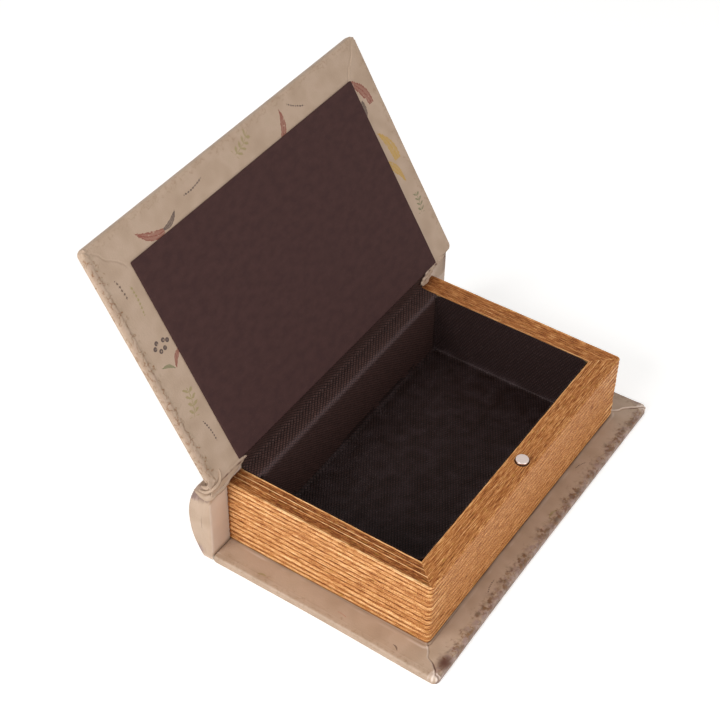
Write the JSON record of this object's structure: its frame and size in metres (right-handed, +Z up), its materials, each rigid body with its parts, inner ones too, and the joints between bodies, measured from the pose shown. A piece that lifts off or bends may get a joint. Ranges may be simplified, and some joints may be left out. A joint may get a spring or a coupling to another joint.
{
  "type": "book box",
  "caption": "Book-shaped keepsake box with a cloth-hinged cover as its lid, ribbed page walls round a lined tray, a rounded spine and a magnet catch.",
  "frame": {"origin": "under the middle of the page block, on the surface that the box stands on", "axes": "+X from the spine to the fore edge, +Y from the tail of the book to its head, +Z up"},
  "size_m": [0.1917, 0.2102, 0.1595],
  "materials": {
    "covering": "matt printed leathercloth",
    "liner": "matt dark liner paper",
    "lining": "embossed diamond grain",
    "page_facing": "ribbed and stained like page edges",
    "grey_board": "raw",
    "fibreboard": "raw",
    "nickel": "nickel plated",
    "steel": "plain"
  },
  "bodies": {
    "box": {"back_board": "grey_board", "back_covering": "covering", "spine_block": "fibreboard", "spine_covering": "covering", "tail_wall": "fibreboard", "head_wall": "fibreboard", "fore_edge_wall": "fibreboard", "spine_side_wall": "fibreboard", "tail_facing": "page_facing", "head_facing": "page_facing", "fore_edge_facing": "page_facing", "floor_card": "grey_board", "floor_lining": "lining", "tail_lining": "lining", "head_lining": "lining", "fore_edge_lining": "lining", "spine_side_lining": "lining", "magnet": "nickel", "joint_cloth": "covering", "hinge_lining": "lining"},
    "lid": {"lid_board": "grey_board", "lid_covering": "covering", "lid_liner": "liner", "keeper_disc": "steel"}
  },
  "joints": [
    {"name": "lid_hinge", "type": "hinge", "parent": "box", "child": "lid", "pos_m": [-0.0566, 0, 0.04906], "axis": [0, 1, 0], "range_deg": [0, 121], "deforming": ["joint_cloth", "hinge_lining"]}
  ]
}
